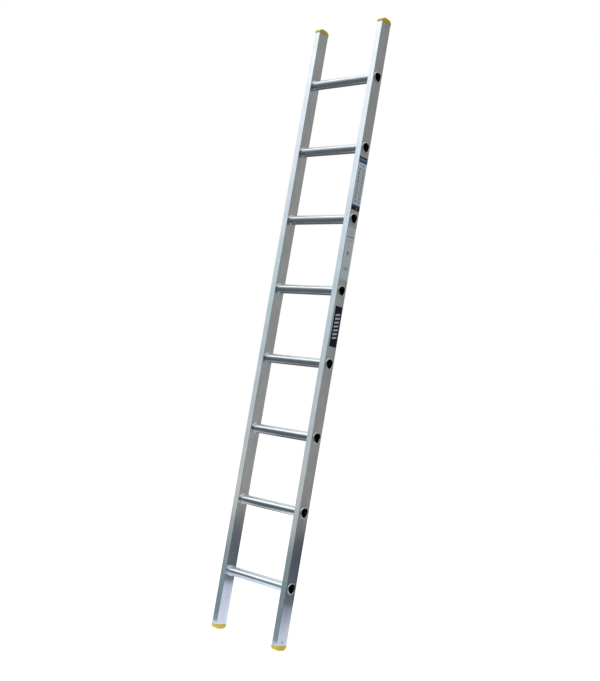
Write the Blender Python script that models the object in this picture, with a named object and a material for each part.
"""Single-section aluminium ladder: two box-section stiles, swaged rungs, plugged stile ends.

Units are metres. +X runs across the ladder, -Y is the side that is climbed, and +Z runs up the
stiles. The origin is midway between the feet, on the surface that the ladder stands on.
"""

import math

import bmesh
import bpy
from mathutils import Vector

# Whole ladder
RUNG_COUNT = 8
RUNG_PITCH = 0.250
BOTTOM_OVERHANG = 0.186
TOP_OVERHANG = 0.1935
OVERALL_WIDTH = 0.3106
TREAD_LEAN = math.radians(14.5)

# Stile: a hollow rectangular extrusion
STILE_WIDTH = 0.0232
STILE_DEPTH = 0.0474
STILE_WALL = 0.0016
STILE_CORNER = 0.0014
STILE_INNER_CORNER = 0.0006

# Rung section: a bulged triangle with a wide tread on top and a keel below
SHOULDER_SPREAD = 0.0084
SHOULDER_RISE = 0.0046
SHOULDER_RADIUS = 0.0074
KEEL_DROP = 0.0110
KEEL_RADIUS = 0.0068
TREAD_RADIUS = 0.0210
FLANK_RADIUS = 0.0220
RUNG_WALL = 0.0016

# Swaged joint: a bead against the stile's inner face and a rolled lip over its outer face
BEAD_LENGTH = 0.0040
BEAD_GROWTH = 0.0020
LIP_GROWTH = 0.0030
LIP_FRONT_GROWTH = 0.0020
LIP_THICKNESS = 0.0018
MOUTH_RADIUS = 0.0024

# End plug: a crowned cap with a hollow spigot
PLUG_EDGE_HEIGHT = 0.0054
PLUG_CROWN_HEIGHT = 0.0160
PLUG_PROUD = 0.0009
PLUG_CORNER = 0.0020
PLUG_CHAMFER = 0.0008
SOLE_LAND = 0.0160
SPIGOT_LENGTH = 0.0300
SPIGOT_WALL = 0.0018
SPIGOT_CORNER = 0.0008
SPIGOT_FLOOR = 0.0030

# Blind rivet that holds each plug
RIVET_INSET = 0.0110
RIVET_RADIUS = 0.0016
RIVET_HEAD_RADIUS = 0.0032
RIVET_HEAD_HEIGHT = 0.0012
RIVET_TAIL_RADIUS = 0.0024
RIVET_TAIL_LENGTH = 0.0030
RIVET_STEM_RADIUS = 0.0009
RIVET_STEM_DEPTH = 0.0008

# Labels on the right stile: name, rung above, gap to that rung's axis, gap to the axis of the
# rung below, margin to the climbed edge, margin to the far edge
LABELS = (
    ("instruction_label", 7, 0.0350, 0.0275, 0.0028, 0.0018),
    ("pictogram_label", 6, 0.0325, 0.0375, 0.0032, 0.0018),
    ("stripe_label", 5, 0.0540, 0.0575, 0.0088, 0.0036),
)
LABEL_THICKNESS = 0.0002

# Space left between pieces that touch, and between a shank and its hole
CLEARANCE = 0.0003

# Facets
SECTION_STEPS = 4
MOUTH_STEPS = 2
CORNER_STEPS = 2
CROWN_STEPS = 3
RIVET_STEPS = 12

STILE_LENGTH = BOTTOM_OVERHANG + (RUNG_COUNT - 1) * RUNG_PITCH + TOP_OVERHANG
STILE_BASE = PLUG_CROWN_HEIGHT
OUTER_FACE = OVERALL_WIDTH / 2
INNER_FACE = OUTER_FACE - STILE_WIDTH
STILE_CENTRE = OUTER_FACE - STILE_WIDTH / 2


def rung_height(number):
    """Height of a rung's axis; rung 1 is the lowest."""
    return STILE_BASE + BOTTOM_OVERHANG + (number - 1) * RUNG_PITCH


# Outlines


def arc(centre, radius, start, end, steps):
    """Points along an arc, without its last one. Angles run anticlockwise."""
    sweep = (end - start) % math.tau
    angles = [start + sweep * step / steps for step in range(steps)]
    return [centre + radius * Vector((math.cos(angle), math.sin(angle))) for angle in angles]


def bridging_centre(first, second, radius):
    """Centre of the arc that touches two corner circles, each (centre, radius), from around them."""
    along = second[0] - first[0]
    distance = along.length
    along.normalize()
    inwards = Vector((-along.y, along.x))
    from_first = radius - first[1]
    from_second = radius - second[1]
    forward = (from_first**2 - from_second**2 + distance**2) / (2 * distance)
    return first[0] + along * forward + inwards * math.sqrt(from_first**2 - forward**2)


def heading(vector):
    return math.atan2(vector.y, vector.x)


def leaning_section(growth):
    """(y, z) points of the rung's section, with the whole section grown outwards by growth.

    Three corner circles are joined by three wide arcs: the tread and the two flanks. The section
    leans so that the tread is level when the ladder is set up against a wall.
    """
    corners = [
        (Vector((SHOULDER_SPREAD, SHOULDER_RISE)), SHOULDER_RADIUS),
        (Vector((-SHOULDER_SPREAD, SHOULDER_RISE)), SHOULDER_RADIUS),
        (Vector((0.0, -KEEL_DROP)), KEEL_RADIUS),
    ]
    wide = [TREAD_RADIUS, FLANK_RADIUS, FLANK_RADIUS]
    centres = [
        bridging_centre(corners[index], corners[(index + 1) % 3], wide[index])
        for index in range(3)
    ]
    points = []
    for index, (corner, radius) in enumerate(corners):
        following = corners[(index + 1) % 3][0]
        arrive = heading(corner - centres[index - 1])
        leave = heading(corner - centres[index])
        finish = heading(following - centres[index])
        points += arc(corner, radius + growth, arrive, leave, SECTION_STEPS)
        points += arc(centres[index], wide[index] + growth, leave, finish, SECTION_STEPS)
    cosine, sine = math.cos(TREAD_LEAN), math.sin(TREAD_LEAN)
    return [(u * cosine - v * sine, u * sine + v * cosine) for u, v in points]


def rung_outline(growth=0.0):
    """The leaning section, central in the depth of the stile."""
    depths = [y for y, z in leaning_section(0.0)]
    middle = (min(depths) + max(depths)) / 2
    return [(y - middle, z) for y, z in leaning_section(growth)]


def half_outline(half_width, half_depth, corner, between):
    """(x, y) points up the +X side of a rounded rectangle; between lists extra y stations."""
    points = []
    for side in (-1, 1):
        centre = Vector((half_width - corner, side * (half_depth - corner)))
        for step in range(CORNER_STEPS + 1):
            angle = math.pi / 2 * (step / CORNER_STEPS - (side < 0))
            points.append(centre + corner * Vector((math.cos(angle), math.sin(angle))))
        if side < 0:
            points += [Vector((half_width, station)) for station in between]
    return [(point.x, point.y) for point in points]


def box_outline(width, depth, corner, between=()):
    """Closed rounded rectangle, anticlockwise, mirrored about x = 0."""
    half = half_outline(width / 2, depth / 2, corner, between)
    return half + [(-x, y) for x, y in reversed(half)]


# Meshes


def across(x, outline, height=0.0):
    """A (y, z) outline as points in the plane at x, raised by height."""
    return [(x, y, z + height) for y, z in outline]


def ring(mesh, points):
    return [mesh.verts.new(point) for point in points]


def bridge(mesh, first, second):
    """A band of quads between two rings of the same length."""
    count = len(first)
    for index in range(count):
        after = (index + 1) % count
        mesh.faces.new((first[index], first[after], second[after], second[index]))


def finished(mesh, name, smooth_angle=None):
    """Mesh data with its faces pointing out, shaded smooth up to the angle if one is given."""
    bmesh.ops.recalc_face_normals(mesh, faces=mesh.faces)
    data = bpy.data.meshes.new(name)
    mesh.to_mesh(data)
    mesh.free()
    if smooth_angle:
        data.shade_smooth()
        data.set_sharp_from_angle(angle=math.radians(smooth_angle))
    return data


def tube_mesh(name, rings, smooth_angle=None):
    """Closed shell through the rings in order, and from the last one back to the first."""
    mesh = bmesh.new()
    loops = [ring(mesh, points) for points in rings]
    for index, loop in enumerate(loops):
        bridge(mesh, loops[index - 1], loop)
    return finished(mesh, name, smooth_angle)


def stile_mesh():
    """The plain extrusion, centred on X and Y, with its lower end at z = 0."""
    outer = box_outline(STILE_WIDTH, STILE_DEPTH, STILE_CORNER)
    inner = box_outline(
        STILE_WIDTH - 2 * STILE_WALL, STILE_DEPTH - 2 * STILE_WALL, STILE_INNER_CORNER
    )
    ends = ((outer, 0.0), (outer, STILE_LENGTH), (inner, STILE_LENGTH), (inner, 0.0))
    return tube_mesh("stile", [[(x, y, z) for x, y in outline] for outline, z in ends])


def rung_mesh():
    """One rung about its own axis, from the lip outside one stile to the lip outside the other.

    The mouth of the bore is a quarter round, from the lip's front face into the bore.
    """
    lip_back = OUTER_FACE + CLEARANCE
    lip_front = lip_back + LIP_THICKNESS
    bead_back = INNER_FACE - CLEARANCE
    right_side = [
        (bead_back - BEAD_LENGTH, 0.0),
        (bead_back, BEAD_GROWTH),
        (bead_back, 0.0),
        (lip_back, 0.0),
        (lip_back, LIP_GROWTH),
        (lip_front, LIP_FRONT_GROWTH),
    ]
    for step in range(MOUTH_STEPS + 1):
        angle = math.pi / 2 * step / MOUTH_STEPS
        inwards = MOUTH_RADIUS * (1 - math.cos(angle))
        growth = MOUTH_RADIUS * (1 - math.sin(angle)) - RUNG_WALL
        right_side.append((lip_front - inwards, growth))
    stations = right_side + [(-x, growth) for x, growth in reversed(right_side)]
    rings = [across(x, rung_outline(growth)) for x, growth in stations]
    return tube_mesh("rung", rings, smooth_angle=30.0)


def crown_stations():
    """y stations across the crown, between the plug's rounded corners."""
    reach = (STILE_DEPTH / 2 - PLUG_CORNER - SOLE_LAND / 2) / CROWN_STEPS
    slope = [SOLE_LAND / 2 + reach * step for step in range(CROWN_STEPS)]
    return [-y for y in reversed(slope)] + slope


def crown_height(y):
    """Height of the crown over the stile's end: a flat land, then an arc down to each edge."""
    run = STILE_DEPTH / 2 + PLUG_PROUD - SOLE_LAND / 2
    drop = PLUG_CROWN_HEIGHT - PLUG_EDGE_HEIGHT
    radius = (run**2 + drop**2) / (2 * drop)
    beyond = min(max(abs(y) - SOLE_LAND / 2, 0.0), run)
    return PLUG_CROWN_HEIGHT - radius + math.sqrt(radius**2 - beyond**2)


def plug_mesh():
    """Plug with the stile's end at z = 0, its crown towards +Z and its spigot towards -Z."""
    stations = crown_stations()
    cap_size = (STILE_WIDTH + 2 * PLUG_PROUD, STILE_DEPTH + 2 * PLUG_PROUD)
    spigot_size = [
        size - 2 * (STILE_WALL + CLEARANCE) for size in (STILE_WIDTH, STILE_DEPTH)
    ]
    hollow_size = [size - 2 * SPIGOT_WALL for size in spigot_size]
    cap = box_outline(*cap_size, PLUG_CORNER, stations)
    crown = box_outline(
        *[size - 2 * PLUG_CHAMFER for size in cap_size], PLUG_CORNER - PLUG_CHAMFER, stations
    )
    spigot = box_outline(*spigot_size, SPIGOT_CORNER, stations)
    hollow = box_outline(*hollow_size, SPIGOT_CORNER / 2, stations)

    mesh = bmesh.new()
    loops = [
        ring(mesh, [(x, y, -SPIGOT_FLOOR) for x, y in hollow]),
        ring(mesh, [(x, y, -SPIGOT_LENGTH) for x, y in hollow]),
        ring(mesh, [(x, y, -SPIGOT_LENGTH) for x, y in spigot]),
        ring(mesh, [(x, y, CLEARANCE) for x, y in spigot]),
        ring(mesh, [(x, y, CLEARANCE) for x, y in cap]),
        ring(mesh, [(x, y, crown_height(y) - PLUG_CHAMFER) for x, y in cap]),
        ring(mesh, [(x, y, crown_height(y)) for x, y in crown]),
    ]
    for first, second in zip(loops, loops[1:]):
        bridge(mesh, first, second)
    mesh.faces.new(loops[0])
    top = loops[-1]
    for index in range(len(top) // 2 - 1):
        mesh.faces.new((top[index], top[index + 1], top[-index - 2], top[-index - 1]))
    return finished(mesh, "plug", smooth_angle=20.0)


def circle(radius):
    angles = [math.tau * step / RIVET_STEPS for step in range(RIVET_STEPS)]
    return [(radius * math.cos(angle), radius * math.sin(angle)) for angle in angles]


def rivet_mesh():
    """Rivet along X, with the stile's outer face at x = 0 and the head on its +X side."""
    grip = STILE_WALL + CLEARANCE + SPIGOT_WALL + CLEARANCE
    head_back = CLEARANCE
    head_top = head_back + RIVET_HEAD_HEIGHT
    profile = [
        (head_top - RIVET_STEM_DEPTH, RIVET_STEM_RADIUS),
        (head_top, RIVET_STEM_RADIUS),
        (head_top - RIVET_HEAD_HEIGHT * 0.35, RIVET_HEAD_RADIUS * 0.78),
        (head_back, RIVET_HEAD_RADIUS),
        (head_back, RIVET_RADIUS),
        (-grip, RIVET_RADIUS),
        (-grip, RIVET_TAIL_RADIUS),
        (-grip - RIVET_TAIL_LENGTH, RIVET_TAIL_RADIUS * 0.7),
    ]
    mesh = bmesh.new()
    loops = [ring(mesh, across(x, circle(radius))) for x, radius in profile]
    for first, second in zip(loops, loops[1:]):
        bridge(mesh, first, second)
    mesh.faces.new(loops[0])
    mesh.faces.new(loops[-1])
    return finished(mesh, "rivet", smooth_angle=40.0)


def label_mesh(name, height, near, far):
    """Thin plate in the YZ plane, from y = near to y = far and up from z = 0."""
    mesh = bmesh.new()
    corners = ((near, 0.0), (far, 0.0), (far, height), (near, height))
    loops = [ring(mesh, across(x, corners)) for x in (0.0, LABEL_THICKNESS)]
    bridge(mesh, *loops)
    for loop in loops:
        mesh.faces.new(loop)
    return finished(mesh, name)


# Objects


def material(name, colour, roughness, metallic=0.0):
    made = bpy.data.materials.new(name)
    made.use_nodes = True
    shader = made.node_tree.nodes["Principled BSDF"]
    shader.inputs["Base Color"].default_value = (*colour, 1.0)
    shader.inputs["Roughness"].default_value = roughness
    shader.inputs["Metallic"].default_value = metallic
    return made


def place(name, data, finish, location, turn=(0.0, 0.0, 0.0)):
    """Adds an object. Its material sits on the object, because copies share one mesh."""
    made = bpy.data.objects.new(name, data)
    made.location = location
    made.rotation_euler = turn
    made.parent = ladder
    bpy.context.scene.collection.objects.link(made)
    if not data.materials:
        data.materials.append(finish)
    made.material_slots[0].link = "OBJECT"
    made.material_slots[0].material = finish
    return made


def cutter(name, mesh):
    made = bpy.data.objects.new(name, finished(mesh, name))
    made.hide_render = True
    made.display_type = "WIRE"
    made.parent = ladder
    bpy.context.scene.collection.objects.link(made)
    return made


def prism(mesh, first, second):
    """A closed prism between two rings of points."""
    loops = [ring(mesh, first), ring(mesh, second)]
    bridge(mesh, *loops)
    for loop in loops:
        mesh.faces.new(loop)


def rung_hole_cutter():
    mesh = bmesh.new()
    reach = OUTER_FACE + STILE_WIDTH
    outline = rung_outline(CLEARANCE)
    for number in range(1, RUNG_COUNT + 1):
        height = rung_height(number)
        prism(mesh, *[across(x, outline, height) for x in (-reach, reach)])
    return cutter("rung_holes", mesh)


def rivet_hole_cutter():
    """Cuts only the walls on the outer side of each stile."""
    mesh = bmesh.new()
    outline = circle(RIVET_RADIUS + CLEARANCE)
    for height in rivet_heights():
        for side in (-1, 1):
            span = (side * STILE_CENTRE, side * (OUTER_FACE + STILE_WIDTH))
            prism(mesh, *[across(x, outline, height) for x in span])
    return cutter("rivet_holes", mesh)


def rivet_heights():
    return (STILE_BASE + RIVET_INSET, STILE_BASE + STILE_LENGTH - RIVET_INSET)


def cut(piece, tool):
    change = piece.modifiers.new(tool.name, "BOOLEAN")
    change.operation = "DIFFERENCE"
    change.solver = "EXACT"
    change.object = tool


def add_stiles(mill_aluminium, holes):
    data = stile_mesh()
    for name, side in (("stile_left", -1), ("stile_right", 1)):
        stile = place(name, data, mill_aluminium, (side * STILE_CENTRE, 0.0, STILE_BASE))
        for tool in holes:
            cut(stile, tool)


def add_rungs(bright_aluminium):
    data = rung_mesh()
    for number in range(1, RUNG_COUNT + 1):
        place(f"rung_{number}", data, bright_aluminium, (0.0, 0.0, rung_height(number)))


def add_plugs(yellow_plastic, rivet_finish, rivet_holes):
    """Four equal plugs, each turned so that its riveted wall faces away from the ladder."""
    plug, rivet = plug_mesh(), rivet_mesh()
    ends = (
        ("foot_plug", STILE_BASE, math.pi),
        ("top_plug", STILE_BASE + STILE_LENGTH, 0.0),
    )
    sides = (("left", -1, math.pi), ("right", 1, 0.0))
    for (end, height, roll), rivet_height in zip(ends, rivet_heights()):
        for side_name, side, turn in sides:
            name = f"{end}_{side_name}"
            place_at = (side * STILE_CENTRE, 0.0, height)
            made = place(name, plug, yellow_plastic, place_at, (roll, 0.0, turn))
            cut(made, rivet_holes)
            place_at = (side * OUTER_FACE, 0.0, rivet_height)
            place(f"{name}_rivet", rivet, rivet_finish, place_at, (0.0, 0.0, turn))


def add_labels(finishes):
    for name, rung_above, gap_above, gap_below, near_margin, far_margin in LABELS:
        bottom = rung_height(rung_above - 1) + gap_below
        height = rung_height(rung_above) - gap_above - bottom
        near = near_margin - STILE_DEPTH / 2
        far = STILE_DEPTH / 2 - far_margin
        data = label_mesh(name, height, near, far)
        place(name, data, finishes[name], (OUTER_FACE + CLEARANCE, 0.0, bottom))


for item in list(bpy.data.objects):
    bpy.data.objects.remove(item)
bpy.context.scene.unit_settings.system = "METRIC"
bpy.context.scene.unit_settings.scale_length = 1.0

ladder = bpy.data.objects.new("ladder", None)
bpy.context.scene.collection.objects.link(ladder)

rung_holes = rung_hole_cutter()
rivet_holes = rivet_hole_cutter()
add_stiles(material("mill_aluminium", (0.66, 0.68, 0.70), 0.38, 1.0), (rung_holes, rivet_holes))
add_rungs(material("bright_aluminium", (0.72, 0.74, 0.76), 0.30, 1.0))
add_plugs(
    material("yellow_plastic", (0.78, 0.60, 0.05), 0.45),
    material("rivet_aluminium", (0.55, 0.56, 0.58), 0.35, 1.0),
    rivet_holes,
)
add_labels(
    {
        "instruction_label": material("instruction_print", (0.50, 0.53, 0.55), 0.35),
        "pictogram_label": material("pictogram_print", (0.58, 0.60, 0.61), 0.35),
        "stripe_label": material("stripe_print", (0.02, 0.02, 0.04), 0.30),
    }
)
